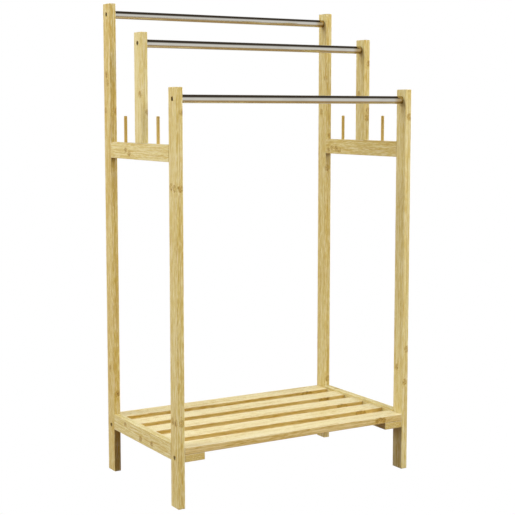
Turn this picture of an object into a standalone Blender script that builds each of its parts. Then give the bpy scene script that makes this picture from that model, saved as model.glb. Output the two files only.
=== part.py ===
"""Free-standing bamboo towel rack: two side frames, three steel towel bars and a slatted shelf.

Metres, +Z up. The origin is the centre of the footprint on the floor, -Y is the front and
+X is the right-hand side as seen from the front. Every object is one separate physical piece.
"""

import math

import bmesh
import bpy

# ---- Driving dimensions ---------------------------------------------------------------

WIDTH = 0.504
DEPTH = 0.300
CLEARANCE = 0.0003

POST_THICKNESS = 0.0135
POST_DEPTH = 0.0285
POST_TOPS = {"front": 0.740, "middle": 0.840, "back": 0.900}
POST_EASE = 0.0012

RAIL_HEIGHT = 0.030
UPPER_RAIL_BOTTOM = 0.611
LOWER_RAIL_BOTTOM = 0.084
RAIL_EASE = 0.0010

BAR_DROP = 0.020
BAR_DIAMETER = 0.015
BAR_WALL = 0.001
INSERT_LENGTH = 0.020

SHELF_TOP = 0.110
SLAT_COUNT = 5
SLAT_DEPTH = 0.040
SLAT_THICKNESS = 0.013
SLAT_EASE = 0.0012
CLEAT_WIDTH = 0.040
CLEAT_THICKNESS = 0.013

BOLT_HEAD_DIAMETER = 0.0076
BOLT_HEAD_HEIGHT = 0.0045
BOLT_SHANK_DIAMETER = 0.005
BOLT_SHANK_LENGTH = 0.025
BOLT_RECESS = 0.0023
BOLT_CHAMFER = 0.0005
SOCKET_ACROSS_CORNERS = 0.0046
SOCKET_DEPTH = 0.0026

SCREW_HEAD_DIAMETER = 0.007
SCREW_HEAD_HEIGHT = 0.0026
SCREW_SHANK_DIAMETER = 0.0035
SCREW_LENGTH = 0.022
SCREW_POINT = 0.004
SCREW_TIP_DIAMETER = 0.0009
SCREW_RIM = 0.0003
SCREW_SINK = 0.0002
SCREW_INSET = 0.030

PEG_DIAMETER = 0.006
PEG_TOP = 0.690
PEG_EASE = 0.0008
DOWEL_DIAMETER = 0.008
DOWEL_LENGTH = 0.030
DOWEL_EASE = 0.0008
SOCKET_SINK = 0.015
LOWER_DOWEL_RAISE = 0.019

BAR_SEGMENTS = 32
TURNED_SEGMENTS = 16
SMALL_SEGMENTS = 12
HEX_SIDES = 6
EASE_SEGMENTS = 1
MERGE_DISTANCE = 0.00001
CUTTER_OVERRUN = 0.002
SHARP_ANGLE = math.radians(30)

# ---- Derived places -------------------------------------------------------------------

SIDES = {"left": -1, "right": 1}
ENDS = {"front": -1, "back": 1}
HALF_WIDTH = WIDTH / 2
HALF_DEPTH = DEPTH / 2
POST_X = HALF_WIDTH - POST_THICKNESS / 2
INNER_X = HALF_WIDTH - POST_THICKNESS
POST_Y = {
    "front": -HALF_DEPTH + POST_DEPTH / 2,
    "middle": 0.0,
    "back": HALF_DEPTH - POST_DEPTH / 2,
}
RAIL_HALF_LENGTH = HALF_DEPTH - POST_DEPTH - CLEARANCE
UPPER_RAIL_TOP = UPPER_RAIL_BOTTOM + RAIL_HEIGHT
RAIL_BOTTOMS = {"upper": UPPER_RAIL_BOTTOM, "lower": LOWER_RAIL_BOTTOM}
RAIL_DOWEL_Z = {
    "upper": UPPER_RAIL_BOTTOM + RAIL_HEIGHT / 2,
    "lower": LOWER_RAIL_BOTTOM + LOWER_DOWEL_RAISE,
}
PEG_Y = (RAIL_HALF_LENGTH + CLEARANCE + POST_DEPTH / 2) / 2
SLAT_PITCH = (DEPTH - SLAT_DEPTH) / (SLAT_COUNT - 1)
SLAT_BOTTOM = SHELF_TOP - SLAT_THICKNESS
CLEAT_TOP = SLAT_BOTTOM - CLEARANCE
CLEAT_BOTTOM = CLEAT_TOP - CLEAT_THICKNESS
SHELF_SCREW_Z = (CLEAT_TOP + CLEAT_BOTTOM) / 2

# ---- Scene helpers --------------------------------------------------------------------


def clear_scene():
    for obj in list(bpy.data.objects):
        bpy.data.objects.remove(obj, do_unlink=True)


def new_collection(name):
    collection = bpy.data.collections.new(name)
    bpy.context.scene.collection.children.link(collection)
    return collection


def principled(name, colour, roughness, metallic=0.0):
    material = bpy.data.materials.new(name)
    material.use_nodes = True
    shader = material.node_tree.nodes["Principled BSDF"]
    shader.inputs["Base Color"].default_value = (*colour, 1.0)
    shader.inputs["Roughness"].default_value = roughness
    shader.inputs["Metallic"].default_value = metallic
    return material


clear_scene()
RACK = new_collection("bamboo_towel_rack")
CUTTERS = new_collection("cutters")

BAMBOO_FRAME = principled("bamboo_frame", (0.58, 0.47, 0.21), 0.45)
BAMBOO_SHELF = principled("bamboo_shelf", (0.68, 0.57, 0.30), 0.45)
BAMBOO_CLEAT = principled("bamboo_cleat", (0.50, 0.39, 0.17), 0.50)
BAMBOO_PEG = principled("bamboo_peg", (0.55, 0.43, 0.19), 0.45)
DOWEL_WOOD = principled("dowel_wood", (0.60, 0.45, 0.27), 0.60)
POLISHED_STEEL = principled("polished_steel", (0.72, 0.72, 0.72), 0.10, 1.0)
ZINC_STEEL = principled("zinc_steel", (0.42, 0.42, 0.43), 0.30, 1.0)
INSERT_PLASTIC = principled("insert_plastic", (0.08, 0.08, 0.08), 0.50)


def place(name, mesh, material, collection=RACK):
    obj = bpy.data.objects.new(name, mesh)
    collection.objects.link(obj)
    if material is not None:
        mesh.materials.append(material)
    return obj


def board(name, low, high, material, ease):
    """A rectangular stick of bamboo between two corners, with eased edges."""
    size = [b - a for a, b in zip(low, high)]
    mesh = bpy.data.meshes.new(name)
    shape = bmesh.new()
    bmesh.ops.create_cube(shape, size=1.0)
    bmesh.ops.scale(shape, vec=size, verts=shape.verts)
    shape.to_mesh(mesh)
    shape.free()
    obj = place(name, mesh, material)
    obj.location = [(a + b) / 2 for a, b in zip(low, high)]
    bevel = obj.modifiers.new("eased_edges", "BEVEL")
    bevel.width = ease
    bevel.segments = EASE_SEGMENTS
    return obj


def turned(name, profile, material, segments=TURNED_SEGMENTS, collection=RACK, closed=False):
    """A solid of revolution about its own Z axis; profile is (radius, height), top to bottom.

    An open profile starts and ends on the axis. A closed one is a loop beside it, for a tube.
    """
    count = len(profile)
    edges = [(i, (i + 1) % count) for i in range(count if closed else count - 1)]
    outline = bpy.data.meshes.new(name)
    outline.from_pydata([(radius, 0.0, height) for radius, height in profile], edges, [])
    obj = place(name, outline, material, collection)
    screw = obj.modifiers.new("turn", "SCREW")
    screw.axis = "Z"
    screw.angle = math.tau
    screw.steps = segments
    screw.render_steps = segments
    screw.use_merge_vertices = True
    screw.merge_threshold = MERGE_DISTANCE
    shade_round(obj)
    return obj


def shade_round(obj):
    """Applies the modifiers, then shades the round faces smooth and keeps the corners sharp."""
    evaluated = obj.evaluated_get(bpy.context.evaluated_depsgraph_get())
    mesh = bpy.data.meshes.new_from_object(evaluated)
    mesh.shade_smooth()
    mesh.set_sharp_from_angle(angle=SHARP_ANGLE)
    obj.modifiers.clear()
    obj.data = mesh


def cut(piece, name, profile, location, rotation=(0.0, 0.0, 0.0), segments=TURNED_SEGMENTS):
    """Cuts a turned hole into a piece. The cutter's +Z end is where the hole opens."""
    cutter = turned(name, profile, None, segments, CUTTERS)
    cutter.location = location
    cutter.rotation_euler = rotation
    cutter.hide_render = True
    cutter.display_type = "WIRE"
    hole = piece.modifiers.new(name, "BOOLEAN")
    hole.operation = "DIFFERENCE"
    hole.solver = "EXACT"
    hole.object = cutter


def rod_profile(radius, top, bottom, ease):
    return [
        (0.0, top),
        (radius - ease, top),
        (radius, top - ease),
        (radius, bottom + ease),
        (radius - ease, bottom),
        (0.0, bottom),
    ]


def hole_profile(radius, top, bottom):
    return [(0.0, top), (radius, top), (radius, bottom), (0.0, bottom)]


def outward(side):
    """The rotation that turns +Z to point out of the rack at this side, along X."""
    return (0.0, SIDES[side] * math.pi / 2, 0.0)


# ---- Fasteners ------------------------------------------------------------------------
# A bolt's own origin is at the face it is sunk into, with +Z pointing out of that face.

HEAD_TOP = -BOLT_RECESS
HEAD_UNDER = HEAD_TOP - BOLT_HEAD_HEIGHT
BOLT_TIP = HEAD_UNDER - BOLT_SHANK_LENGTH


def bolt_profile():
    head = BOLT_HEAD_DIAMETER / 2
    shank = BOLT_SHANK_DIAMETER / 2
    return [
        (0.0, HEAD_TOP),
        (head - BOLT_CHAMFER, HEAD_TOP),
        (head, HEAD_TOP - BOLT_CHAMFER),
        (head, HEAD_UNDER),
        (shank, HEAD_UNDER),
        (shank, BOLT_TIP + BOLT_CHAMFER),
        (shank - BOLT_CHAMFER, BOLT_TIP),
        (0.0, BOLT_TIP),
    ]


def bolt_hole_profile(bottom):
    head = BOLT_HEAD_DIAMETER / 2 + CLEARANCE
    shank = BOLT_SHANK_DIAMETER / 2 + CLEARANCE
    seat = HEAD_UNDER - CLEARANCE
    return [
        (0.0, CUTTER_OVERRUN),
        (head, CUTTER_OVERRUN),
        (head, seat),
        (shank, seat),
        (shank, bottom),
        (0.0, bottom),
    ]


def make_bolt(name, side, y, z):
    bolt = turned(name, bolt_profile(), ZINC_STEEL)
    bolt.location = (SIDES[side] * HALF_WIDTH, y, z)
    bolt.rotation_euler = outward(side)
    mouth = HEAD_TOP + CUTTER_OVERRUN
    socket = hole_profile(SOCKET_ACROSS_CORNERS / 2, mouth, HEAD_TOP - SOCKET_DEPTH)
    cut(bolt, f"{name}_socket", socket, bolt.location, bolt.rotation_euler, HEX_SIDES)


def bolt_hole(piece, name, side, y, z):
    """A counterbored hole through a post, or on into what is behind it."""
    bottom = BOLT_TIP - CLEARANCE
    cut(piece, name, bolt_hole_profile(bottom), (SIDES[side] * HALF_WIDTH, y, z), outward(side))


def screw_profile(gap=0.0):
    """A countersunk wood screw, head at the top; a gap makes the hole it sits in."""
    head = SCREW_HEAD_DIAMETER / 2 + gap
    shank = SCREW_SHANK_DIAMETER / 2 + gap
    tip = -SCREW_LENGTH - gap
    rim = CUTTER_OVERRUN if gap else -SCREW_SINK
    lip = -SCREW_SINK - (0.0 if gap else SCREW_RIM)
    return [
        (0.0, rim),
        (head, rim),
        (head, lip),
        (shank, -SCREW_HEAD_HEIGHT - gap / 2),
        (shank, -SCREW_LENGTH + SCREW_POINT),
        (SCREW_TIP_DIAMETER / 2, tip),
        (0.0, tip),
    ]


# ---- Side frames ----------------------------------------------------------------------


def make_post(side, row):
    sign = SIDES[side]
    low_z = UPPER_RAIL_TOP + CLEARANCE if row == "middle" else 0.0
    outer = sign * HALF_WIDTH
    inner = sign * INNER_X
    post = board(
        f"{side}_{row}_post",
        (min(outer, inner), POST_Y[row] - POST_DEPTH / 2, low_z),
        (max(outer, inner), POST_Y[row] + POST_DEPTH / 2, POST_TOPS[row]),
        BAMBOO_FRAME,
        POST_EASE,
    )
    bolt_hole(post, f"{post.name}_bar_hole", side, POST_Y[row], POST_TOPS[row] - BAR_DROP)
    if row == "middle":
        foot = (sign * POST_X, POST_Y[row], low_z)
        dowel_socket(post, f"{post.name}_foot_socket", foot, (math.pi, 0.0, 0.0))
        return
    bolt_hole(post, f"{post.name}_shelf_hole", side, POST_Y[row], SHELF_SCREW_Z)
    into_rail = -ENDS[row]
    for level, z in RAIL_DOWEL_Z.items():
        face = (sign * POST_X, POST_Y[row] + into_rail * POST_DEPTH / 2, z)
        dowel_socket(post, f"{post.name}_{level}_socket", face, (-into_rail * math.pi / 2, 0.0, 0.0))


def dowel_socket(piece, name, face, rotation):
    depth = DOWEL_LENGTH / 2 + CLEARANCE
    profile = hole_profile(DOWEL_DIAMETER / 2 + CLEARANCE, CUTTER_OVERRUN, -depth)
    cut(piece, name, profile, face, rotation, SMALL_SEGMENTS)


def make_rail(side, level):
    sign = SIDES[side]
    bottom = RAIL_BOTTOMS[level]
    outer = sign * HALF_WIDTH
    inner = sign * INNER_X
    rail = board(
        f"{side}_{level}_rail",
        (min(outer, inner), -RAIL_HALF_LENGTH, bottom),
        (max(outer, inner), RAIL_HALF_LENGTH, bottom + RAIL_HEIGHT),
        BAMBOO_FRAME,
        RAIL_EASE,
    )
    for end, direction in ENDS.items():
        face = (sign * POST_X, direction * RAIL_HALF_LENGTH, RAIL_DOWEL_Z[level])
        dowel_socket(rail, f"{rail.name}_{end}_socket", face, (-direction * math.pi / 2, 0.0, 0.0))
        make_dowel(f"{side}_{level}_rail_{end}_dowel", face, (math.pi / 2, 0.0, 0.0))
    if level == "upper":
        top = (sign * POST_X, POST_Y["middle"], UPPER_RAIL_TOP)
        dowel_socket(rail, f"{rail.name}_post_socket", top, (0.0, 0.0, 0.0))
        make_dowel(f"{side}_middle_post_dowel", top, (0.0, 0.0, 0.0))
        for end, direction in ENDS.items():
            make_peg(rail, side, end, sign * POST_X, direction * PEG_Y)


def make_dowel(name, centre, rotation):
    """A hidden dowel; its length is centred on the joint, less the gap at each end."""
    half = DOWEL_LENGTH / 2 - CLEARANCE
    profile = rod_profile(DOWEL_DIAMETER / 2, half, -half, DOWEL_EASE)
    dowel = turned(name, profile, DOWEL_WOOD, SMALL_SEGMENTS)
    dowel.location = centre
    dowel.rotation_euler = rotation


def make_peg(rail, side, end, x, y):
    """A thin round peg that stands in a blind hole in the upper rail."""
    foot = UPPER_RAIL_TOP - SOCKET_SINK
    name = f"{side}_{end}_peg"
    radius = PEG_DIAMETER / 2
    peg = turned(name, rod_profile(radius, PEG_TOP - foot, 0.0, PEG_EASE), BAMBOO_PEG)
    peg.location = (x, y, foot)
    socket = hole_profile(radius + CLEARANCE, CUTTER_OVERRUN, -SOCKET_SINK - CLEARANCE)
    cut(rail, f"{name}_socket", socket, (x, y, UPPER_RAIL_TOP))


# ---- Towel bars -----------------------------------------------------------------------


def tube(name, outer, inner, length, material, segments):
    """A straight tube along its own Z axis, between two radii."""
    half = length / 2
    section = [(outer, half), (outer, -half), (inner, -half), (inner, half)]
    return turned(name, section, material, segments, closed=True)


def make_bar(row):
    y = POST_Y[row]
    z = POST_TOPS[row] - BAR_DROP
    length = 2 * (INNER_X - CLEARANCE)
    bore = BAR_DIAMETER / 2 - BAR_WALL
    thread = BOLT_SHANK_DIAMETER / 2 + CLEARANCE
    bar = tube(f"{row}_towel_bar", BAR_DIAMETER / 2, bore, length, POLISHED_STEEL, BAR_SEGMENTS)
    bar.location = (0.0, y, z)
    bar.rotation_euler = (0.0, math.pi / 2, 0.0)
    for side, sign in SIDES.items():
        name = f"{row}_bar_insert_{side}"
        plug = bore - CLEARANCE
        insert = tube(name, plug, thread, INSERT_LENGTH, INSERT_PLASTIC, TURNED_SEGMENTS)
        insert.location = (sign * (length - INSERT_LENGTH) / 2, y, z)
        insert.rotation_euler = outward(side)
        make_bolt(f"{row}_bar_bolt_{side}", side, y, z)


# ---- Shelf ----------------------------------------------------------------------------


def make_cleat(side):
    """A flat board along the inside of a side frame, which carries the slat ends."""
    sign = SIDES[side]
    outer = sign * (INNER_X - CLEARANCE)
    inner = sign * (INNER_X - CLEAT_WIDTH)
    cleat = board(
        f"{side}_shelf_cleat",
        (min(outer, inner), -HALF_DEPTH, CLEAT_BOTTOM),
        (max(outer, inner), HALF_DEPTH, CLEAT_TOP),
        BAMBOO_CLEAT,
        SLAT_EASE,
    )
    for row in ENDS:
        bolt_hole(cleat, f"{side}_{row}_cleat_hole", side, POST_Y[row], SHELF_SCREW_Z)
        make_bolt(f"{side}_{row}_shelf_screw", side, POST_Y[row], SHELF_SCREW_Z)
    return cleat


def make_slat(index, cleats):
    """A slat across the shelf, held by a screw that comes up through the cleat at each end."""
    y = -HALF_DEPTH + SLAT_DEPTH / 2 + index * SLAT_PITCH
    end = INNER_X - CLEARANCE
    slat = board(
        f"shelf_slat_{index + 1}",
        (-end, y - SLAT_DEPTH / 2, SLAT_BOTTOM),
        (end, y + SLAT_DEPTH / 2, SHELF_TOP),
        BAMBOO_SHELF,
        SLAT_EASE,
    )
    upside_down = (math.pi, 0.0, 0.0)
    for side, sign in SIDES.items():
        foot = (sign * (INNER_X - SCREW_INSET), y, CLEAT_BOTTOM)
        name = f"slat_screw_{side}_{index + 1}"
        screw = turned(name, screw_profile(), ZINC_STEEL, SMALL_SEGMENTS)
        screw.location = foot
        screw.rotation_euler = upside_down
        hole = screw_profile(CLEARANCE)
        for piece in (cleats[side], slat):
            cut(piece, f"{name}_hole_in_{piece.name}", hole, foot, upside_down, SMALL_SEGMENTS)


def make_shelf():
    cleats = {side: make_cleat(side) for side in SIDES}
    for index in range(SLAT_COUNT):
        make_slat(index, cleats)


def make_rack():
    for side in SIDES:
        for row in POST_TOPS:
            make_post(side, row)
        for level in RAIL_BOTTOMS:
            make_rail(side, level)
    for row in POST_TOPS:
        make_bar(row)
    make_shelf()


make_rack()
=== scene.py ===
import math

import bmesh
import bpy
from mathutils import Matrix, Vector


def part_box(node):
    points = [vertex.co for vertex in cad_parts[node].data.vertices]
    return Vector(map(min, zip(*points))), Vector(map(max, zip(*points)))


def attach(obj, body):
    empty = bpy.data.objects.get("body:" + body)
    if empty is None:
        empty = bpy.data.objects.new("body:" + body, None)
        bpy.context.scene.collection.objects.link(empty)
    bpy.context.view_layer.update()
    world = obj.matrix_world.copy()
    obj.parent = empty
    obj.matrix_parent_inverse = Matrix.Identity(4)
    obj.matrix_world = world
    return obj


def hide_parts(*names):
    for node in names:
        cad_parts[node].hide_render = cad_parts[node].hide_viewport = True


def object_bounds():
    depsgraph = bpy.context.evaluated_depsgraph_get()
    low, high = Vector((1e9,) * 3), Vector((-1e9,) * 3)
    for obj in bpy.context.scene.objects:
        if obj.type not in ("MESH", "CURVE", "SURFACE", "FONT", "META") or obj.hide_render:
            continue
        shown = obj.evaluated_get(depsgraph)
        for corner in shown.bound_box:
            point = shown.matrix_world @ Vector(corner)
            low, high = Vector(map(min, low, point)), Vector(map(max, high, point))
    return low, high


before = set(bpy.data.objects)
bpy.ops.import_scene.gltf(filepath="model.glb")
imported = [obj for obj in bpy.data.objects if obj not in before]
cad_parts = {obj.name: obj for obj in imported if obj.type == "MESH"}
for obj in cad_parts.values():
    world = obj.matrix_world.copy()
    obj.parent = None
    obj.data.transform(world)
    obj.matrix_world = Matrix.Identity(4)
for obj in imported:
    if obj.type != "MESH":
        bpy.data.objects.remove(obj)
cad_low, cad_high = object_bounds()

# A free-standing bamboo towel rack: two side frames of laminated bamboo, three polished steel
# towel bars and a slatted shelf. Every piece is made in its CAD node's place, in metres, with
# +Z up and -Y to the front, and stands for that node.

SIDES = {"left": -1, "right": 1}
ENDS = {"front": -1, "back": 1}
ROWS = ("front", "middle", "back")
AXES = {"x": 0, "y": 1, "z": 2}
SLATS = range(1, 6)

# ---- Sizes, metres --------------------------------------------------------------------

CLEARANCE = 0.0003
POST_EDGE = 0.0012
RAIL_EDGE = 0.0008
SLAT_EDGE = 0.0009
CLEAT_EDGE = 0.0009
FREE_END_EDGE = 0.0009
BUTTED_END_EDGE = 0.0004
HOLE_RIM = 0.0004
HIDDEN_RIM = 0.0002
SHARP_ANGLE = math.radians(32)
OVERRUN = 0.002
WELD = 0.000001

BOLT_HEAD_HEIGHT = 0.0045
BOLT_HEAD_CHAMFER = 0.0005
BOLT_NECK = 0.0002
BOLT_SHANK = 0.0025
BOLT_TIP_CHAMFER = 0.0005
BOLT_PLAIN_LENGTH = 0.001
BOLT_THREAD_DEPTH = 0.00042
BOLT_THREAD_RUNOUT = 0.0012
BOLT_PITCH = 0.0008
SOCKET_RADIUS = 0.0023
SOCKET_DEPTH = 0.0026
SOCKET_LEAD = 0.00025
SOCKET_CONE = 0.0005

SCREW_HEAD_HEIGHT = 0.0026
SCREW_RIM = 0.0002
SCREW_RIM_DEPTH = 0.0003
SCREW_SHANK = 0.00175
SCREW_PLAIN_LENGTH = 0.003
SCREW_THREAD_DEPTH = 0.00050
SCREW_THREAD_RUNOUT = 0.0015
SCREW_PITCH = 0.0014
SCREW_POINT = 0.004
SCREW_TIP = 0.0004
RECESS_RADIUS = 0.0019
RECESS_WING = 0.00035
RECESS_DEPTH = 0.0015
RECESS_RADIUS_TAPER = 0.35
RECESS_WING_TAPER = 0.7

BAR_WALL = 0.001
BAR_DEBURR = 0.0003
INSERT_RIBS = 12
INSERT_RIB_DEPTH = 0.0006
INSERT_PLAIN_END = 0.0015
INSERT_EDGE = 0.0006
INSERT_LEAD = 0.0005
PEG_SOCKET = 0.015
PEG_DOME = 0.0012
PEG_CHAMFER = 0.0005
DOWEL_CHAMFER = 0.0008
DOWEL_FLUTES = 20
DOWEL_FLUTE_DEPTH = 0.00035

# Segments of a rounded edge, and round a whole turn.
EDGE_SEGMENTS = 4
END_SEGMENTS = 3
ARC_SEGMENTS = {"bolt": 3, "screw": 3, "tube": 4, "peg": 5}
HOLE_SEGMENTS = 48
COUNTERSINK_SEGMENTS = 32
TUBE_SEGMENTS = 96
INSERT_SEGMENTS = 72
BOLT_SEGMENTS = 24
HEXAGON = 6
SCREW_SEGMENTS = 20
PEG_SEGMENTS = 48
DOWEL_SEGMENTS = 120

# ---- Turning and cutting --------------------------------------------------------------


def arc(centre, radius, start, end, steps):
    """Points (radius, height) on an arc of a profile, from one angle in degrees to another."""
    points = []
    for step in range(steps + 1):
        angle = math.radians(start + (end - start) * step / steps)
        points.append((centre[0] + radius * math.cos(angle), centre[1] + radius * math.sin(angle)))
    return points


def lathe(profile, segments, closed=False, shape=None):
    """A solid turned about Z from (radius, height) points, top to bottom.

    A closed profile is a loop beside the axis, for a tube. shape(angle, radius, height) may
    give a point another radius, for flutes, ribs and threads.
    """
    solid = bmesh.new()
    rings = []
    for radius, height in profile:
        ring = []
        for step in range(segments if radius > 0.0 else 1):
            angle = math.tau * step / segments
            reach = shape(angle, radius, height) if shape and radius > 0.0 else radius
            ring.append(solid.verts.new((reach * math.cos(angle), reach * math.sin(angle), height)))
        rings.append(ring)
    pairs = list(zip(rings, rings[1:]))
    if closed:
        pairs.append((rings[-1], rings[0]))
    for upper, lower in pairs:
        for step in range(segments):
            after = (step + 1) % segments
            if len(upper) == 1:
                corners = (upper[0], lower[step], lower[after])
            elif len(lower) == 1:
                corners = (upper[step], lower[0], upper[after])
            else:
                corners = (upper[step], lower[step], lower[after], upper[after])
            solid.faces.new(corners)
    bmesh.ops.recalc_face_normals(solid, faces=solid.faces)
    return solid


def new_object(name, solid):
    """An object made from a bmesh, which is used up."""
    mesh = bpy.data.meshes.new(name)
    solid.to_mesh(mesh)
    solid.free()
    obj = bpy.data.objects.new(name, mesh)
    bpy.context.scene.collection.objects.link(obj)
    return obj


def aim(direction):
    """The turn that takes +Z to a direction."""
    return Vector(direction).to_track_quat("Z", "Y").to_matrix().to_4x4()


def cut(obj, cutters):
    """Cuts solids, given as (bmesh, world matrix), out of an object in one go.

    The cut's double points are welded and its many-sided faces split, so the mesh stays closed.
    """
    tools = []
    for index, (solid, matrix) in enumerate(cutters):
        tool = new_object(f"tool_{index}", solid)
        tool.matrix_world = matrix
        hole = obj.modifiers.new(f"hole_{index}", "BOOLEAN")
        hole.operation = "DIFFERENCE"
        hole.solver = "EXACT"
        hole.object = tool
        tools.append(tool)
    graph = bpy.context.evaluated_depsgraph_get()
    mesh = bpy.data.meshes.new_from_object(obj.evaluated_get(graph))
    obj.modifiers.clear()
    obj.data = mesh
    result = bmesh.new()
    result.from_mesh(mesh)
    bmesh.ops.remove_doubles(result, verts=result.verts, dist=WELD)
    many_sided = [face for face in result.faces if len(face.verts) > 4]
    bmesh.ops.triangulate(result, faces=many_sided, ngon_method="BEAUTY")
    result.to_mesh(mesh)
    result.free()
    for tool in tools:
        bpy.data.objects.remove(tool, do_unlink=True)


def centre_of(node):
    low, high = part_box(node)
    return (Vector(low) + Vector(high)) / 2


def size_of(node):
    low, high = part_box(node)
    return Vector(high) - Vector(low)


# ---- What the materials read on each mesh ---------------------------------------------

SEED_STEP = 0.618
SEEDS = {node: SEED_STEP * index for index, node in enumerate(sorted(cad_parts))}

# How much more honey-coloured a piece is than the others, or below 0 how much paler.
WARMTH = {
    "left_back_post": 0.32,
    "left_middle_post": -0.30,
    "left_upper_rail": -0.15,
    "left_lower_rail": -0.10,
    "right_upper_rail": 0.10,
    "right_front_post": -0.12,
    "shelf_slat_5": 0.15,
}

# How golden a piece's narrow faces are, from 0 to 1: partly the strips' edge grain, partly
# painted shade. The inner slats get more than the front slat as painted shade of the gaps
# between slats.
GOLDEN_AND_GAP_SHADE = {f"shelf_slat_{index}": 1.0 for index in SLATS}
GOLDEN_AND_GAP_SHADE["shelf_slat_1"] = 0.60

# The most knuckles that a piece can have, and where the spare ones go.
KNUCKLE_COUNT = 8
FAR_AWAY = (9.0, 9.0, 9.0)


def put_on_mesh(mesh, name, values):
    """Stores a number or a vector for each vertex."""
    if isinstance(values[0], float):
        attribute = mesh.attributes.new(name, "FLOAT", "POINT")
        attribute.data.foreach_set("value", values)
    else:
        attribute = mesh.attributes.new(name, "FLOAT_VECTOR", "POINT")
        attribute.data.foreach_set("vector", [number for value in values for number in value])


def complete(obj, node, finish, grain, half=(1.0, 1.0, 1.0), knuckles=()):
    """Shades a piece, stores its grain and lets it stand for its CAD node.

    grain turns a point of the mesh into (along, across, through) metres from the middle, and
    knuckles are such points on its surface. half is half the piece's size the same way, left
    large on a piece without worn or highlighted edges.
    """
    mesh = obj.data
    mesh.shade_smooth()
    mesh.set_sharp_from_angle(angle=SHARP_ANGLE)
    points = [vertex.co for vertex in mesh.vertices]
    put_on_mesh(mesh, "grain", [grain(point) for point in points])
    whole = {
        "half_size": half,
        "seed": SEEDS[node],
        "warmth": WARMTH.get(node, 0.0),
        "golden_and_gap_shade": GOLDEN_AND_GAP_SHADE.get(node, 0.0),
    }
    for index in range(KNUCKLE_COUNT):
        whole[f"knuckle_{index}"] = knuckles[index] if index < len(knuckles) else FAR_AWAY
    for name, value in whole.items():
        put_on_mesh(mesh, name, [value] * len(points))
    mesh.materials.clear()
    mesh.materials.append(MATERIALS[finish])
    even = obj.modifiers.new("even_shading", "WEIGHTED_NORMAL")
    even.keep_sharp = True
    even.weight = 100
    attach(obj, "root")
    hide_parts(node)


# ---- Materials ------------------------------------------------------------------------

CREAM = (0.85, 0.78, 0.52, 1.0)
# Pale edges: partly rubbed wear, partly a painted highlight.
RUBBED_AND_HIGHLIGHT = (0.93, 0.88, 0.66, 1.0)
RUSSET = (0.38, 0.215, 0.020, 1.0)
UMBER = (0.240, 0.122, 0.010, 1.0)
# Multiplied into the slats' narrow faces: partly edge grain, partly painted shade.
EDGE_GRAIN_AND_SHADE = (0.76, 0.62, 0.33, 1.0)
FRAME_TONES = ((0.77, 0.690, 0.355, 1.0), (0.68, 0.560, 0.205, 1.0), (0.54, 0.372, 0.080, 1.0))
SLAT_TONES = ((0.90, 0.820, 0.550, 1.0), (0.84, 0.735, 0.400, 1.0), (0.56, 0.385, 0.085, 1.0))
PEG_TONES = ((0.70, 0.520, 0.160, 1.0), (0.60, 0.410, 0.090, 1.0), (0.48, 0.300, 0.050, 1.0))

# Half the length and half the width of a knuckle's mark, metres.
POST_MARK = (0.0085, 0.0068)
SLAT_MARK = (0.0060, 0.0065)

STEEL = (0.76, 0.75, 0.73, 1.0)
WIPED_STEEL = (0.70, 0.69, 0.67, 1.0)
# Painted reflection of the post, tinted onto the right end of each bar.
PAINTED_POST_REFLECTION = (0.50, 0.35, 0.13, 1.0)
# Painted contact shade at the right end of each bar, where it meets the post.
PAINTED_CONTACT_SHADE = (0.07, 0.04, 0.02, 1.0)
BLUE_ZINC = (0.47, 0.48, 0.53, 1.0)
YELLOW_ZINC = (0.60, 0.57, 0.55, 1.0)
BLACK_NYLON = (0.055, 0.055, 0.058, 1.0)
GREY_NYLON = (0.10, 0.10, 0.10, 1.0)
PALE_BEECH = (0.62, 0.46, 0.29, 1.0)
DARK_BEECH = (0.47, 0.31, 0.17, 1.0)
BEECH_RAY = (0.24, 0.13, 0.06, 1.0)


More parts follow.
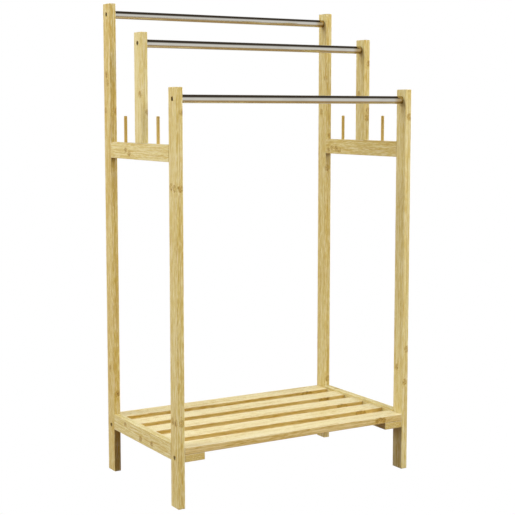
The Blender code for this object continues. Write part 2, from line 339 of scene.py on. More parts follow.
class Shader:
    """One material's nodes. Wherever a value is wanted, a number or a socket will do."""

    def __init__(self, name):
        self.material = bpy.data.materials.new(name)
        self.material.use_nodes = True
        self.nodes = self.material.node_tree.nodes
        self.links = self.material.node_tree.links
        self.surface = self.nodes["Principled BSDF"]

    def plug(self, socket, value):
        if isinstance(value, bpy.types.NodeSocket):
            self.links.new(value, socket)
        else:
            socket.default_value = value

    def set(self, **values):
        for name, value in values.items():
            self.plug(self.surface.inputs[name.replace("_", " ")], value)

    def node(self, kind, inputs=(), **settings):
        made = self.nodes.new(kind)
        for name, value in settings.items():
            setattr(made, name, value)
        for name, value in dict(inputs).items():
            self.plug(made.inputs[name], value)
        return made

    def attribute(self, name, output):
        return self.node("ShaderNodeAttribute", attribute_name=name).outputs[output]

    def math(self, operation, *values):
        made = self.node("ShaderNodeMath", operation=operation)
        for socket, value in zip(made.inputs, values):
            self.plug(socket, value)
        return made.outputs[0]

    def add(self, *values):
        total = values[0]
        for value in values[1:]:
            total = self.math("ADD", total, value)
        return total

    def times(self, *values):
        total = values[0]
        for value in values[1:]:
            total = self.math("MULTIPLY", total, value)
        return total

    def vector(self, operation, first, second=(0.0, 0.0, 0.0)):
        made = self.node("ShaderNodeVectorMath", operation=operation)
        self.plug(made.inputs[0], first)
        self.plug(made.inputs[1], second)
        return made.outputs["Value" if operation == "LENGTH" else "Vector"]

    def split(self, vector):
        return self.node("ShaderNodeSeparateXYZ", {"Vector": vector}).outputs[:]

    def join(self, x, y, z):
        return self.node("ShaderNodeCombineXYZ", {"X": x, "Y": y, "Z": z}).outputs[0]

    def fade(self, value, start, end, low=0.0, high=1.0):
        """Goes smoothly from low to high while value goes from start to end."""
        inputs = {"Value": value, "From Min": start, "From Max": end, "To Min": low, "To Max": high}
        return self.node("ShaderNodeMapRange", inputs, interpolation_type="SMOOTHSTEP").outputs[0]

    def noise(self, vector, detail=2.0, roughness=0.5, distortion=0.0):
        inputs = {"Vector": vector, "Scale": 1.0, "Detail": detail, "Roughness": roughness}
        inputs["Distortion"] = distortion
        return self.node("ShaderNodeTexNoise", inputs).outputs[0]

    def chance(self, vector):
        """Three random numbers for each value of a vector."""
        return self.split(self.node("ShaderNodeTexWhiteNoise", {"Vector": vector}).outputs["Color"])

    def mix(self, factor, first, second, blend="MIX"):
        """Mixes two colours, whose sockets come after the node's float and vector ones."""
        made = self.node("ShaderNodeMix", data_type="RGBA", blend_type=blend)
        self.plug(made.inputs[0], factor)
        self.plug(made.inputs[6], first)
        self.plug(made.inputs[7], second)
        return made.outputs[2]

    def bump(self, height):
        made = self.node("ShaderNodeBump", {"Height": height, "Distance": 1.0})
        self.plug(self.surface.inputs["Normal"], made.outputs[0])


def stretched(shader, u, v, w, length, width, shift):
    """Coordinates whose unit is length along the fibres and width across them."""
    along = shader.math("MULTIPLY_ADD", u, 1.0 / length, shift)
    across = shader.math("MULTIPLY_ADD", v, 1.0 / width, shift)
    through = shader.math("MULTIPLY", w, 1.0 / width)
    return shader.join(along, across, through)


def edge_distance(shader, u, v, w):
    """How far a point on a board is from its nearest edge, ends, narrow faces and lower face."""
    half = shader.split(shader.attribute("half_size", "Vector"))
    a, b, c = (
        shader.math("SUBTRACT", limit, shader.math("ABSOLUTE", place))
        for limit, place in zip(half, (u, v, w))
    )
    low = shader.math("MINIMUM", b, c)
    high = shader.math("MAXIMUM", b, c)
    nearest = shader.math("MAXIMUM", low, shader.math("MINIMUM", high, a))
    return nearest, a, b, shader.math("ADD", half[2], w)


def glued_strips(shader, v, w, seed, strip, layer, phase):
    """A random number for the strip that a point is in, and how much glue shows there."""
    storey = shader.math("MULTIPLY_ADD", w, 1.0 / layer, phase)
    level = shader.math("FLOOR", storey)
    place = shader.add(shader.times(v, 1.0 / strip), shader.times(level, 0.5), 0.25)
    column = shader.math("FLOOR", place)
    tone, bleed = shader.chance(shader.join(column, level, seed))[:2]

    def line(value, unit, outer, inner):
        """A line where value is whole, faint from outer and full from inner metres off it."""
        from_middle = shader.math("SUBTRACT", shader.math("FRACT", value), 0.5)
        off_middle = shader.math("ABSOLUTE", from_middle)
        return shader.fade(off_middle, 0.5 - outer / unit, 0.5 - inner / unit)

    joint = line(place, strip, 0.00034, 0.00008)
    joint = shader.times(joint, shader.fade(bleed, 0.0, 1.0, 0.25, 0.8))
    bed = line(storey, layer, 0.00050, 0.00010)
    return tone, shader.math("MAXIMUM", joint, bed)


def knuckle_distance(shader, point, mark):
    """How far a point is from the nearest knuckle's middle, where 1 is the rim of its mark."""
    away = FAR_AWAY[0]
    per_metre = (1.0 / mark[0], 1.0 / mark[1], 1.0 / mark[1])
    for index in range(KNUCKLE_COUNT):
        offset = shader.vector("SUBTRACT", point, shader.attribute(f"knuckle_{index}", "Vector"))
        distance = shader.vector("LENGTH", shader.vector("MULTIPLY", offset, per_metre))
        away = shader.math("MINIMUM", away, distance)
    return away


def bamboo(name, strip, layer, phase, tones, mark, bold=1.0, fine=1.0, figure=1.0):
    """Laminated bamboo: glued strips of split cane, each with its own tone.

    strip and layer are the strips' width and thickness, and phase shifts the layers' glue lines.
    tones are its pale, straw and honey colours. mark is half the length and half the width of a
    knuckle, and bold widens its curls. fine narrows the streaks, and figure is their strength.
    """
    shader = Shader(name)
    pale, straw, honey = tones
    point = shader.attribute("grain", "Vector")
    u, v, w = shader.split(point)
    seed = shader.attribute("seed", "Fac")
    tone, glue = glued_strips(shader, v, w, seed, strip, layer, phase)
    shift = shader.times(tone, 40.0)

    # Knuckles: brown curls and dark pits, round which the fibres bend.
    away = knuckle_distance(shader, point, mark)
    swirl = shader.noise(stretched(shader, u, v, w, 0.0062, 0.0042, seed), 2.0, 0.6, 1.0)
    body = shader.fade(away, 1.0, 0.60)
    halo = shader.fade(away, 1.9, 0.7)
    off_line = shader.math("ABSOLUTE", shader.math("SUBTRACT", swirl, 0.5))
    curl = shader.times(body, shader.fade(off_line, 0.060 * bold, 0.020 * bold))
    pit = shader.times(body, shader.fade(swirl, 0.56, 0.62))
    bend = shader.times(halo, shader.math("SUBTRACT", swirl, 0.5))
    v_bent = shader.math("MULTIPLY_ADD", bend, 0.006, v)

    def lines(length, width, start, detail, roughness=0.5):
        place = stretched(shader, u, v_bent, w, length, width * fine, start)
        return shader.noise(place, detail, roughness)

    fibre = lines(0.030, 0.00045, shift, 3.0, 0.6)
    streak = lines(0.090, 0.0020, shift, 2.0)
    vein = lines(0.065, 0.0011, shift, 2.0, 0.6)
    cream = lines(0.050, 0.0014, seed, 2.0, 0.6)
    drift = lines(0.140, 0.0200, shift, 1.0)
    fleck = lines(0.006, 0.0007, shift, 1.0)
    mottle = lines(0.015, 0.0021, seed, 2.0, 0.6)

    depth = shader.add(
        shader.times(tone, 0.16),
        shader.fade(streak, 0.42, 0.58, 0.0, 0.36),
        shader.fade(drift, 0.30, 0.70, 0.0, 0.38),
        shader.fade(mottle, 0.38, 0.62, -0.20 * figure, 0.24 * figure),
        shader.attribute("warmth", "Fac"),
    )
    colour = shader.mix(shader.fade(depth, 0.10, 0.55), pale, straw)
    colour = shader.mix(shader.fade(depth, 0.55, 1.00), colour, honey)
    colour = shader.mix(shader.fade(fibre, 0.38, 0.68, 0.0, 0.28), colour, honey)
    colour = shader.mix(shader.fade(vein, 0.53, 0.63, 0.0, 0.70 * figure), colour, honey)
    colour = shader.mix(shader.fade(cream, 0.54, 0.66, 0.0, 0.70 * figure), colour, CREAM)
    colour = shader.mix(shader.fade(mottle, 0.44, 0.34, 0.0, 0.32 * figure), colour, CREAM)
    colour = shader.mix(shader.fade(fleck, 0.68, 0.80, 0.0, 0.45 * figure), colour, RUSSET)

    # The narrow faces are more golden, partly from the strips' edge grain and partly as painted
    # shade, and their lower edge is darkened as painted shade of the gaps between slats.
    edge, end, flank, bottom = edge_distance(shader, u, v, w)
    golden_and_gap_shade = shader.fade(flank, 0.0003, 0.0001, 0.0, shader.attribute("golden_and_gap_shade", "Fac"))
    colour = shader.mix(golden_and_gap_shade, colour, EDGE_GRAIN_AND_SHADE, "MULTIPLY")
    painted_gap_shade = shader.times(golden_and_gap_shade, shader.fade(bottom, 0.0030, 0.0008, 0.0, 0.75))
    colour = shader.mix(painted_gap_shade, colour, RUSSET)

    colour = shader.mix(shader.times(glue, 0.70), colour, RUSSET)
    colour = shader.mix(shader.times(body, 0.40), colour, honey)
    colour = shader.mix(shader.times(curl, 0.85), colour, RUSSET)
    colour = shader.mix(shader.times(pit, 0.90), colour, UMBER)

    # Edges are paler, partly from rubbed wear and partly as a painted highlight that is stronger on
    # the upper edges than on the lower ones, and sawn ends show the fibres as dark dots.
    worn_and_lit_edge = shader.fade(shader.math("MULTIPLY_ADD", fleck, 0.002, edge), 0.0024, 0.0010)
    pale_edge_and_highlight = shader.times(worn_and_lit_edge, shader.fade(bottom, 0.002, 0.006, 0.15, 0.50))
    colour = shader.mix(pale_edge_and_highlight, colour, RUBBED_AND_HIGHLIGHT)
    sawn = shader.fade(end, 0.0009, 0.0001)
    pores = shader.noise(stretched(shader, u, v, w, 0.002, 0.00055, seed), 1.0)
    dots = shader.times(sawn, shader.fade(pores, 0.42, 0.62, 0.10, 0.45))
    colour = shader.mix(dots, colour, honey)

    gloss = shader.add(
        0.36,
        shader.times(fibre, 0.12),
        shader.times(worn_and_lit_edge, 0.08),
        shader.times(sawn, 0.16),
        shader.times(glue, 0.10),
    )
    relief = shader.add(
        shader.times(fibre, 0.000045),
        shader.times(streak, 0.000060),
        shader.times(glue, -0.000050),
        shader.times(pit, -0.000040),
        shader.times(halo, 0.000060),
    )
    shader.set(Base_Color=colour, Roughness=gloss, Specular_IOR_Level=0.30)
    shader.set(Coat_Weight=0.08, Coat_Roughness=0.28)
    shader.bump(relief)
    return shader.material


def polished_steel(name):
    """Bright tube with fine draw lines and faint smudges, and at its right end a painted reflection
    of the post and painted contact shade where it meets the post.
    """
    shader = Shader(name)
    u, v, w = shader.split(shader.attribute("grain", "Vector"))
    seed = shader.attribute("seed", "Fac")
    lines = shader.noise(stretched(shader, u, v, w, 0.060, 0.00030, seed), 2.0, 0.6)
    smudge = shader.noise(stretched(shader, u, v, w, 0.050, 0.020, seed), 3.0, 0.55)
    wiped = shader.fade(smudge, 0.45, 0.70)
    colour = shader.mix(wiped, STEEL, WIPED_STEEL)
    half = shader.split(shader.attribute("half_size", "Vector"))[0]
    end = shader.math("SUBTRACT", half, u)
    # Painted reflection: the last 24 mm of the right end are tinted golden brown, standing for the
    # post mirrored in the tube.
    colour = shader.mix(shader.fade(end, 0.024, 0.010, 0.0, 0.85), colour, PAINTED_POST_REFLECTION)
    # Painted contact shade: the last 2 mm of the right end are darkened where the tube meets the
    # post.
    colour = shader.mix(shader.fade(end, 0.0018, 0.0008, 0.0, 0.85), colour, PAINTED_CONTACT_SHADE)
    gloss = shader.add(0.055, shader.times(wiped, 0.045), shader.times(lines, 0.030))
    shader.set(Base_Color=colour, Metallic=1.0, Roughness=gloss)
    shader.bump(shader.times(lines, 0.0000025))
    return shader.material


def zinc_steel(name):
    """Zinc-plated steel: cloudy, faintly blue and yellow, with tiny pits."""
    shader = Shader(name)
    u, v, w = shader.split(shader.attribute("grain", "Vector"))
    seed = shader.attribute("seed", "Fac")
    cloud = shader.noise(stretched(shader, u, v, w, 0.0022, 0.0016, seed), 3.0, 0.6)
    pits = shader.noise(stretched(shader, u, v, w, 0.00025, 0.00025, seed), 2.0)
    colour = shader.mix(shader.fade(cloud, 0.35, 0.65), BLUE_ZINC, YELLOW_ZINC)
    shader.set(Base_Color=colour, Metallic=1.0)
    shader.set(Roughness=shader.add(0.20, shader.times(cloud, 0.18), shader.times(pits, 0.08)))
    shader.bump(shader.times(pits, 0.000012))
    return shader.material


def moulded_plastic(name):
    """Black nylon with a fine spark-eroded texture and slight flow marks."""
    shader = Shader(name)
    u, v, w = shader.split(shader.attribute("grain", "Vector"))
    seed = shader.attribute("seed", "Fac")
    flow = shader.noise(stretched(shader, u, v, w, 0.006, 0.003, seed), 2.0)
    texture = shader.noise(stretched(shader, u, v, w, 0.0003, 0.0003, seed), 2.0)
    colour = shader.mix(flow, BLACK_NYLON, GREY_NYLON)
    shader.set(Base_Color=colour, Roughness=shader.add(0.42, shader.times(texture, 0.16)))
    shader.bump(shader.times(texture, 0.000020))
    return shader.material


def dowel_wood(name):
    """Plain beech with short dark rays along the grain."""
    shader = Shader(name)
    u, v, w = shader.split(shader.attribute("grain", "Vector"))
    seed = shader.attribute("seed", "Fac")
    grain = shader.noise(stretched(shader, u, v, w, 0.020, 0.0012, seed), 3.0, 0.6)
    rays = shader.noise(stretched(shader, u, v, w, 0.0022, 0.0004, seed), 1.0)
    colour = shader.mix(shader.fade(grain, 0.3, 0.7), PALE_BEECH, DARK_BEECH)
    colour = shader.mix(shader.fade(rays, 0.60, 0.75, 0.0, 0.6), colour, BEECH_RAY)
    shader.set(Base_Color=colour, Roughness=shader.add(0.52, shader.times(grain, 0.15)))
    shader.bump(shader.times(grain, 0.000040))
    return shader.material


MATERIALS = {
    "bamboo_frame": bamboo(
        "bamboo_frame_grain",
        strip=0.0057,
        layer=0.0075,
        phase=0.0,
        tones=FRAME_TONES,
        mark=POST_MARK,
    ),
    "bamboo_shelf": bamboo(
        "bamboo_shelf_grain",
        strip=0.0066,
        layer=0.0048,
        phase=0.5,
        tones=SLAT_TONES,
        mark=SLAT_MARK,
        bold=1.5,
    ),
    "bamboo_cleat": bamboo(
        "bamboo_cleat_grain",
        strip=0.0066,
        layer=0.0033,
        phase=0.5,
        tones=FRAME_TONES,
        mark=POST_MARK,
    ),
    "bamboo_peg": bamboo(
        "bamboo_peg_grain",
        strip=0.0070,
        layer=0.0070,
        phase=0.5,
        tones=PEG_TONES,
        mark=POST_MARK,
        fine=0.4,
        figure=0.35,
    ),
    "dowel_wood": dowel_wood("dowel_beech"),
    "polished_steel": polished_steel("polished_tube"),
    "zinc_steel": zinc_steel("zinc_plate"),
    "bar_insert": moulded_plastic("black_nylon"),
}

# ---- Boards ---------------------------------------------------------------------------


def bevel(solid, edges, width, segments):
    bmesh.ops.bevel(
        solid,
        geom=edges,
        offset=width,
        offset_type="OFFSET",
        segments=segments,
        profile=0.5,
        affect="EDGES",
        clamp_overlap=True,
    )


def board(node, axes, finish, edge, low_end, high_end, cutters, knuckles):
    """A stick of bamboo with rounded long edges, eased ends and cut holes.

    axes names its long, wide and thin directions, such as "zyx" for a post. A knuckle is a place
    on the long axis in the rack's own metres, then across and through the board, where -1 and 1
    are its faces. One that lies past a face is smaller.
    """
    long_axis, wide_axis, thin_axis = (AXES[letter] for letter in axes)
    half = size_of(node) / 2
    solid = bmesh.new()
    bmesh.ops.create_cube(solid, size=2.0)
    bmesh.ops.scale(solid, vec=half, verts=solid.verts)

    def at_end(item, sign):
        reach = sign * half[long_axis]
        return all(abs(vertex.co[long_axis] - reach) < WELD for vertex in item.verts)

    sides = [item for item in solid.edges if not (at_end(item, 1) or at_end(item, -1))]
    bevel(solid, sides, edge, EDGE_SEGMENTS)
    for sign, ease in ((-1, low_end), (1, high_end)):
        bevel(solid, [item for item in solid.edges if at_end(item, sign)], ease, END_SEGMENTS)
    bmesh.ops.remove_doubles(solid, verts=solid.verts, dist=WELD)
    obj = new_object(f"{node}_board", solid)
    obj.location = centre_of(node)
    cut(obj, cutters)

    def grain(point):
        return (point[long_axis], point[wide_axis], point[thin_axis])

    middle = centre_of(node)[long_axis]
    reach = grain(half)
    spots = [(u - middle, v * reach[1], w * reach[2]) for u, v, w in knuckles]
    complete(obj, node, finish, grain, reach, spots)


def hole(radius, depth, rim=HOLE_RIM):
    """A blind round hole that opens at height 0, with an eased rim."""
    profile = [
        (0.0, OVERRUN),
        (radius + rim, OVERRUN),
        (radius + rim, 0.0),
        (radius, -rim),
        (radius, -depth),
        (0.0, -depth),
    ]
    return lathe(profile, HOLE_SEGMENTS)


def outer_end(bolt):
    """X at a bolt's head, which is the end further from the middle of the rack."""
    return max((corner[0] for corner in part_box(bolt)), key=abs)


def bolt_hole(side, bolt):
    """A counterbored hole for a bolt that is sunk in a post's outer face."""
    head = size_of(bolt)[1] / 2 + CLEARANCE
    shank = BOLT_SHANK + CLEARANCE
    face = cad_high[0] * SIDES[side]
    recess = abs(face) - abs(outer_end(bolt))
    seat = -recess - BOLT_HEAD_HEIGHT - CLEARANCE
    bottom = -recess - size_of(bolt)[0] - CLEARANCE
    profile = [
        (0.0, OVERRUN),
        (head + HOLE_RIM, OVERRUN),
        (head + HOLE_RIM, 0.0),
        (head, -HOLE_RIM),
        (head, seat),
        (shank, seat),
        (shank, bottom),
        (0.0, bottom),
    ]
    middle = centre_of(bolt)
    place = Matrix.Translation((face, middle.y, middle.z))
    return lathe(profile, HOLE_SEGMENTS), place @ aim((SIDES[side], 0, 0))


def dowel_hole(dowel, toward):
    """Half of a dowel's hole; toward is the direction in which it opens."""
    half = max(size_of(dowel)) / 2 + CLEARANCE
    radius = min(size_of(dowel)) / 2 + CLEARANCE
    return hole(radius, half, HIDDEN_RIM), Matrix.Translation(centre_of(dowel)) @ aim(toward)


# Where each board's knuckles are, as board() takes them.
KNUCKLES = {
    "left_front_post": (
        (0.154, -0.5, -1.05),
        (0.156, 0.4, -1.1),
        (0.154, -1.0, 0.1),
        (0.566, -0.5, -1.05),
        (0.568, 0.4, -1.05),
        (0.566, -1.0, 0.1),
        (0.697, -1.15, 0.8),
        (0.452, -0.2, 1.1),
    ),
    "left_middle_post": (
        (0.729, -0.6, -1.2),
        (0.697, -1.2, 0.9),
        (0.655, 1.0, 0.2),
        (0.790, 0.3, 1.0),
    ),
    "left_back_post": (
        (0.768, 0.1, -1.2),
        (0.752, -0.2, -1.2),
        (0.700, 0.5, -1.4),
        (0.202, 0.1, -1.3),
        (0.699, -1.1, 0.9),
        (0.154, -1.1, 0.1),
        (0.480, 1.0, -0.2),
        (0.300, 0.2, 1.1),
    ),
    "right_front_post": (
        (0.201, 0.3, -1.3),
        (0.238, -1.0, 0.4),
        (0.173, -1.1, -0.2),
        (0.688, -1.0, 0.3),
        (0.395, 0.2, 1.0),
        (0.560, 1.1, 0.1),
    ),
    "right_middle_post": (
        (0.686, -1.0, 0.2),
        (0.700, -1.1, 0.5),
        (0.793, -1.15, 0.6),
        (0.734, 0.3, -1.4),
        (0.700, 0.2, 1.0),
    ),
    "right_back_post": (
        (0.697, 0.2, -1.3),
        (0.768, -0.8, -1.4),
        (0.6475, -1.0, 0.6),
        (0.5806, -1.0, -0.4),
        (0.129, -1.0, 0.2),
        (0.345, 0.1, 1.1),
        (0.820, 1.0, 0.1),
    ),
    "left_upper_rail": (
        (0.040, -0.3, -1.2),
        (0.055, 0.1, -1.4),
        (-0.060, 0.4, 1.0),
        (-0.020, -1.0, 0.2),
    ),
    "left_lower_rail": (
        (0.070, 0.4, -1.4),
        (0.0035, -0.4, -1.2),
        (-0.044, -0.3, -1.3),
        (0.030, 0.1, 1.1),
    ),
    "right_upper_rail": (
        (0.112, -0.5, -1.3),
        (0.098, -0.2, -1.4),
        (0.083, -0.3, -1.2),
        (0.071, -0.5, -1.3),
        (-0.035, 0.2, 1.0),
    ),
    "right_lower_rail": ((-0.060, 0.3, -1.2), (0.040, -0.2, 1.0), (0.085, 1.0, 0.1)),
}
SLAT_KNUCKLES = (
    (0.179, -1.0, 0.1),
    (0.187, -1.0, 0.3),
    (0.195, -1.0, 0.0),
    (-0.110, 1.0, 0.2),
    (0.045, 0.3, -1.0),
    (-0.180, -0.5, -1.0),
)
CLEAT_KNUCKLES = ((-0.090, 1.0, 0.1), (0.030, -1.0, -0.2), (0.095, -0.2, -1.0))


def make_post(side, row):
    node = f"{side}_{row}_post"
    cutters = [bolt_hole(side, f"{row}_bar_bolt_{side}")]
    if row == "middle":
        cutters.append(dowel_hole(f"{side}_middle_post_dowel", (0, 0, -1)))
    else:
        cutters.append(bolt_hole(side, f"{side}_{row}_shelf_screw"))
        for level in ("upper", "lower"):
            cutters.append(dowel_hole(f"{side}_{level}_rail_{row}_dowel", (0, -ENDS[row], 0)))
    foot = BUTTED_END_EDGE if row == "middle" else FREE_END_EDGE
    board(node, "zyx", "bamboo_frame", POST_EDGE, foot, FREE_END_EDGE, cutters, KNUCKLES[node])


def make_rail(side, level):
    node = f"{side}_{level}_rail"
    cutters = []
    for end, sign in ENDS.items():
        cutters.append(dowel_hole(f"{node}_{end}_dowel", (0, sign, 0)))
    if level == "upper":
        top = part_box(node)[1][2]
        cutters.append(dowel_hole(f"{side}_middle_post_dowel", (0, 0, 1)))
        for end in ENDS:
            peg = f"{side}_{end}_peg"
            mouth = centre_of(peg)
            mouth.z = top
            radius = size_of(peg)[0] / 2 + CLEARANCE
            socket = hole(radius, PEG_SOCKET + CLEARANCE, HIDDEN_RIM)
            cutters.append((socket, Matrix.Translation(mouth)))
    ends = BUTTED_END_EDGE
    board(node, "yzx", "bamboo_frame", RAIL_EDGE, ends, ends, cutters, KNUCKLES[node])


def screw_hole(screw):
    """The countersunk hole of a screw that comes up from below."""
    head = size_of(screw)[0] / 2 + CLEARANCE
    shank = SCREW_SHANK + CLEARANCE
    tip = -size_of(screw)[2] - 2 * CLEARANCE
    profile = [
        (0.0, OVERRUN),
        (head, OVERRUN),
        (head, -CLEARANCE),
        (shank, -SCREW_HEAD_HEIGHT - CLEARANCE / 2),
        (shank, tip),
        (0.0, tip),
    ]
    foot = centre_of(screw)
    foot.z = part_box(screw)[0][2] - CLEARANCE
    return lathe(profile, COUNTERSINK_SEGMENTS), Matrix.Translation(foot) @ aim((0, 0, -1))


def make_cleat(side):
    node = f"{side}_shelf_cleat"
    cutters = [screw_hole(f"slat_screw_{side}_{index}") for index in SLATS]
    cutters += [bolt_hole(side, f"{side}_{end}_shelf_screw") for end in ENDS]
    board(node, "yxz", "bamboo_cleat", CLEAT_EDGE, CLEAT_EDGE, CLEAT_EDGE, cutters, CLEAT_KNUCKLES)


def make_slat(index):
    node = f"shelf_slat_{index}"
    cutters = [screw_hole(f"slat_screw_{side}_{index}") for side in SIDES]
    ends = BUTTED_END_EDGE
    board(node, "xyz", "bamboo_shelf", SLAT_EDGE, ends, ends, cutters, SLAT_KNUCKLES)


# ---- Bars, pegs, dowels and fasteners -------------------------------------------------


def along_z(point):
    return (point[2], point[0], point[1])


def tube_profile(outer, bore, half, ease):
    """The closed section of a tube whose four rims are rounded."""
    points = []
    for x, z, start in (
        (outer - ease, half - ease, 90),
        (outer - ease, ease - half, 0),
        (bore + ease, ease - half, -90),
        (bore + ease, half - ease, -180),
    ):
        points += arc((x, z), ease, start, start - 90, ARC_SEGMENTS["tube"])
    return points


def make_bar(row):
    node = f"{row}_towel_bar"
    size = size_of(node)
    outer = size[2] / 2
    section = tube_profile(outer, outer - BAR_WALL, size[0] / 2, BAR_DEBURR)
    obj = new_object(f"{node}_tube", lathe(section, TUBE_SEGMENTS, closed=True))
    obj.matrix_world = Matrix.Translation(centre_of(node)) @ aim((1, 0, 0))
    complete(obj, node, "polished_steel", along_z, half=(size[0] / 2, outer, outer))


def make_insert(row, side):
    """A ribbed plug pressed into a bar's end, with a hole for the bolt."""
    node = f"{row}_bar_insert_{side}"
    size = size_of(node)
    outer = size[2] / 2
    bore = BOLT_SHANK + CLEARANCE
    half = size[0] / 2
    top = half - INSERT_EDGE
    lead = half - INSERT_LEAD

    def ribbed(angle, radius, height):
        if radius < (outer + bore) / 2 or abs(height) > half - INSERT_PLAIN_END:
            return radius
        return radius - INSERT_RIB_DEPTH * (0.5 - 0.5 * math.cos(INSERT_RIBS * angle))

    rows = 12
    profile = [(outer - INSERT_EDGE, half)]
    profile += [(outer, top - step * 2 * top / rows) for step in range(rows + 1)]
    profile += [(outer - INSERT_EDGE, -half), (bore + INSERT_LEAD, -half)]
    profile += [(bore, -lead), (bore, lead), (bore + INSERT_LEAD, half)]
    obj = new_object(f"{node}_plug", lathe(profile, INSERT_SEGMENTS, closed=True, shape=ribbed))
    obj.matrix_world = Matrix.Translation(centre_of(node)) @ aim((SIDES[side], 0, 0))
    complete(obj, node, "bar_insert", along_z)


def threaded(top, bottom, crest, depth, pitch, runout):
    """A shape for lathe: a thread between two heights, whose ridge sinks away at both ends."""

    def shape(angle, radius, height):
        if height > top or height < bottom:
            return radius
        turn = (height / pitch - angle / math.tau) % 1.0
        ridge = 1.0 - abs(2.0 * turn - 1.0)
        fade = min(1.0, (top - height) / runout, (height - bottom) / runout)
        return min(radius, crest - depth * (1.0 - ridge * fade))

    return shape


def shank_rows(radius, top, bottom, spacing):
    """Rings along a shank, close enough together to carry a thread."""
    count = max(1, round((top - bottom) / spacing))
    return [(radius, top + (bottom - top) * step / count) for step in range(count + 1)]


def make_bolt(node, side):
    """A socket-head bolt sunk in a post, with a hexagon socket and a threaded shank."""
    size = size_of(node)
    head = size[1] / 2
    length = size[0]
    under = -BOLT_HEAD_HEIGHT
    ease = BOLT_HEAD_CHAMFER
    tip = BOLT_TIP_CHAMFER - length
    profile = [(0.0, 0.0)] + arc((head - ease, -ease), ease, 90, 0, ARC_SEGMENTS["bolt"])
    profile += [(head, under + BOLT_NECK), (head - BOLT_NECK, under), (BOLT_SHANK, under)]
    profile += shank_rows(BOLT_SHANK, under - BOLT_NECK, tip, BOLT_PITCH / 6)
    profile += [(BOLT_SHANK - BOLT_TIP_CHAMFER, -length), (0.0, -length)]
    thread = threaded(
        top=under - BOLT_PLAIN_LENGTH,
        bottom=tip,
        crest=BOLT_SHANK,
        depth=BOLT_THREAD_DEPTH,
        pitch=BOLT_PITCH,
        runout=BOLT_THREAD_RUNOUT,
    )
    obj = new_object(f"{node}_bolt", lathe(profile, BOLT_SEGMENTS, shape=thread))
    place = centre_of(node)
    place.x = outer_end(node)
    obj.matrix_world = Matrix.Translation(place) @ aim((SIDES[side], 0, 0))
    mouth = SOCKET_RADIUS + SOCKET_LEAD
    socket = [(0.0, OVERRUN), (mouth, OVERRUN), (mouth, 0.0), (SOCKET_RADIUS, -SOCKET_LEAD)]
    socket += [(SOCKET_RADIUS, -SOCKET_DEPTH), (0.0, -SOCKET_DEPTH - SOCKET_CONE)]
    bpy.context.view_layer.update()
    cut(obj, [(lathe(socket, HEXAGON), obj.matrix_world.copy())])
    complete(obj, node, "zinc_steel", along_z)


def recess_wing():
    """One of the two wings of a cross recess, which taper downwards."""
    solid = bmesh.new()
    for vertex in bmesh.ops.create_cube(solid, size=1.0)["verts"]:
        low = vertex.co.z < 0.0
        reach = RECESS_RADIUS * (RECESS_RADIUS_TAPER if low else 1.0)
        wing = RECESS_WING * (RECESS_WING_TAPER if low else 1.0)
        height = -RECESS_DEPTH if low else OVERRUN
        x = math.copysign(reach, vertex.co.x)
        y = math.copysign(wing, vertex.co.y)
        vertex.co = Vector((x, y, height))
    return solid


def make_slat_screw(side, index):
    """A countersunk wood screw, driven up from below through the cleat into a slat."""
    node = f"slat_screw_{side}_{index}"
    size = size_of(node)
    head = size[0] / 2
    length = size[2]
    neck = -SCREW_HEAD_HEIGHT
    point = -length + SCREW_POINT
    rim = (head - SCREW_RIM, -SCREW_RIM)
    profile = [(0.0, 0.0)] + arc(rim, SCREW_RIM, 90, 0, ARC_SEGMENTS["screw"])
    profile += [(head, -SCREW_RIM_DEPTH), (SCREW_SHANK, neck)]
    profile += shank_rows(SCREW_SHANK, neck - SCREW_RIM_DEPTH, point, SCREW_PITCH / 8)
    taper = 8
    for step in range(1, taper):
        share = step / taper
        radius = SCREW_SHANK + (SCREW_TIP - SCREW_SHANK) * share
        profile.append((radius, point - SCREW_POINT * share))
    profile += [(0.0, -length)]
    thread = threaded(
        top=neck - SCREW_PLAIN_LENGTH,
        bottom=-length,
        crest=SCREW_SHANK,
        depth=SCREW_THREAD_DEPTH,
        pitch=SCREW_PITCH,
        runout=SCREW_THREAD_RUNOUT,
    )
    obj = new_object(f"{node}_screw", lathe(profile, SCREW_SEGMENTS, shape=thread))
    foot = centre_of(node)
    foot.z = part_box(node)[0][2]
    place = Matrix.Translation(foot) @ aim((0, 0, -1))
    obj.matrix_world = place
    quarter_turn = Matrix.Rotation(math.pi / 2, 4, "Z")
    cut(obj, [(recess_wing(), place), (recess_wing(), place @ quarter_turn)])
    complete(obj, node, "zinc_steel", along_z)


def make_peg(side, end):
    """A thin bamboo rod with a domed top and a chamfered foot."""
    node = f"{side}_{end}_peg"
    size = size_of(node)
    radius = size[0] / 2
    half = size[2] / 2
    dome = (radius - PEG_DOME, half - PEG_DOME)
    profile = [(0.0, half)] + arc(dome, PEG_DOME, 80, 0, ARC_SEGMENTS["peg"])
    profile += [(radius, 0.0), (radius, PEG_CHAMFER - half)]
    profile += [(radius - PEG_CHAMFER, -half), (0.0, -half)]
    obj = new_object(f"{node}_rod", lathe(profile, PEG_SEGMENTS))
    obj.location = centre_of(node)
    complete(obj, node, "bamboo_peg", along_z)


def make_dowel(node, direction):
    """A fluted dowel with chamfered ends."""
    size = size_of(node)
    radius = min(size) / 2
    half = max(size) / 2

    def fluted(angle, reach, height):
        if abs(height) > half - DOWEL_CHAMFER / 2:
            return reach
        return reach - DOWEL_FLUTE_DEPTH * (0.5 - 0.5 * math.cos(DOWEL_FLUTES * angle))

    profile = [
        (0.0, half),
        (radius - DOWEL_CHAMFER, half),
        (radius, half - DOWEL_CHAMFER),
        (radius, DOWEL_CHAMFER - half),
        (radius - DOWEL_CHAMFER, -half),
        (0.0, -half),
    ]
    obj = new_object(f"{node}_pin", lathe(profile, DOWEL_SEGMENTS, shape=fluted))
    obj.matrix_world = Matrix.Translation(centre_of(node)) @ aim(direction)
    complete(obj, node, "dowel_wood", along_z)


